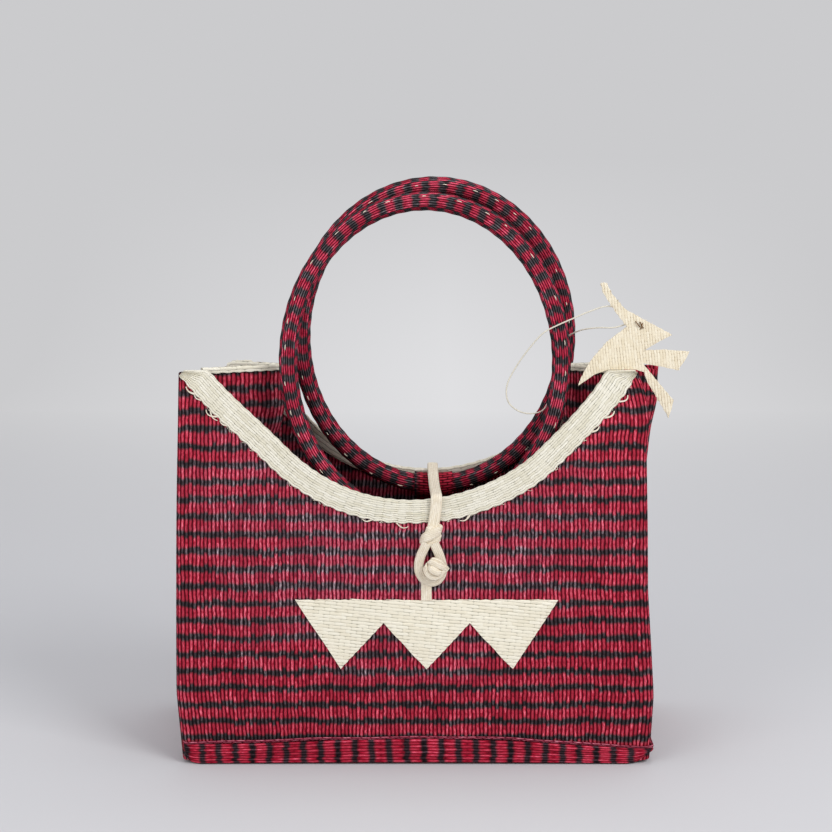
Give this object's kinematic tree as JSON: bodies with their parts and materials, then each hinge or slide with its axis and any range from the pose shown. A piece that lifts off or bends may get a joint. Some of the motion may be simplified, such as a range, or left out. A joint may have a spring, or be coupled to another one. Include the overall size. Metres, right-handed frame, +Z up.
{
  "type": "woven handbag",
  "caption": "Woven fibre handbag with folding sides, scooped rims, round ring handles, a knotted loop closure and a bird charm on a thread.",
  "frame": {"origin": "middle of the underside of the base, on the floor", "axes": "+Z up, -Y towards the front with the motif and the button, +X to the viewer's right"},
  "size_m": [0.3225, 0.1335, 0.3619],
  "materials": {
    "striped_weave": "crimson and charcoal handwoven fibre stripes, matt with a slight sheen",
    "ring_weave": "crimson and charcoal blocks woven round a hoop",
    "base_weave": "plain dark red weave",
    "tab_weave": "dark red woven strip",
    "pale_plait": "natural cream plaited fibre, matt and slightly frayed",
    "thread": "thin natural thread",
    "cane": "bent cane, hidden in the sleeve"
  },
  "bodies": {
    "bag": {"front_panel": "striped_weave", "back_panel": "striped_weave", "left_gusset": "striped_weave", "right_gusset": "striped_weave", "base_panel": "base_weave", "base_band_front": "striped_weave", "base_band_back": "striped_weave", "base_band_left": "striped_weave", "base_band_right": "striped_weave", "base_piping": "striped_weave", "front_trim": "pale_plait", "back_trim": "pale_plait", "left_gusset_trim": "pale_plait", "right_gusset_trim": "pale_plait", "front_ring_tab": "tab_weave", "back_ring_tab": "tab_weave", "strap_anchor": "pale_plait", "button_stem": "pale_plait", "button_knot": "pale_plait", "front_motif": "pale_plait"},
    "front_handle": {"front_ring_sleeve": "ring_weave", "front_ring_hoop": "cane", "charm_thread": "thread"},
    "back_handle": {"back_ring_sleeve": "ring_weave", "back_ring_hoop": "cane"},
    "strap": {"strap_bridge": "pale_plait"},
    "loop": {"strap_tail": "pale_plait", "loop_knot": "pale_plait", "closing_loop": "pale_plait"},
    "charm": {"bird_charm": "pale_plait", "charm_knot": "pale_plait"}
  },
  "joints": [
    {"name": "front_handle_tilt", "type": "hinge", "parent": "bag", "child": "front_handle", "pos_m": [0.008, -0.036, 0.1495], "axis": [1, 0, 0], "range_deg": [0, 5]},
    {"name": "back_handle_tilt", "type": "hinge", "parent": "bag", "child": "back_handle", "pos_m": [0.014, 0.036, 0.1585], "axis": [1, 0, 0], "range_deg": [-5, 0]},
    {"name": "strap_lift", "type": "hinge", "parent": "bag", "child": "strap", "pos_m": [0.0125, 0.04879, 0.17055], "axis": [1, 0, 0], "range_deg": [-15, 0]},
    {"name": "loop_lift", "type": "hinge", "parent": "strap", "child": "loop", "pos_m": [0.0125, -0.05488, 0.16855], "axis": [1, 0, 0], "range_deg": [-100, 0]},
    {"name": "charm_swing", "type": "hinge", "parent": "front_handle", "child": "charm", "pos_m": [0.142, -0.0282, 0.2716], "axis": [1, 0, 0], "range_deg": [0, 25]}
  ],
  "couplings": [
    {"joint": "strap_lift", "follows": "loop_lift", "ratio": 0.15}
  ]
}
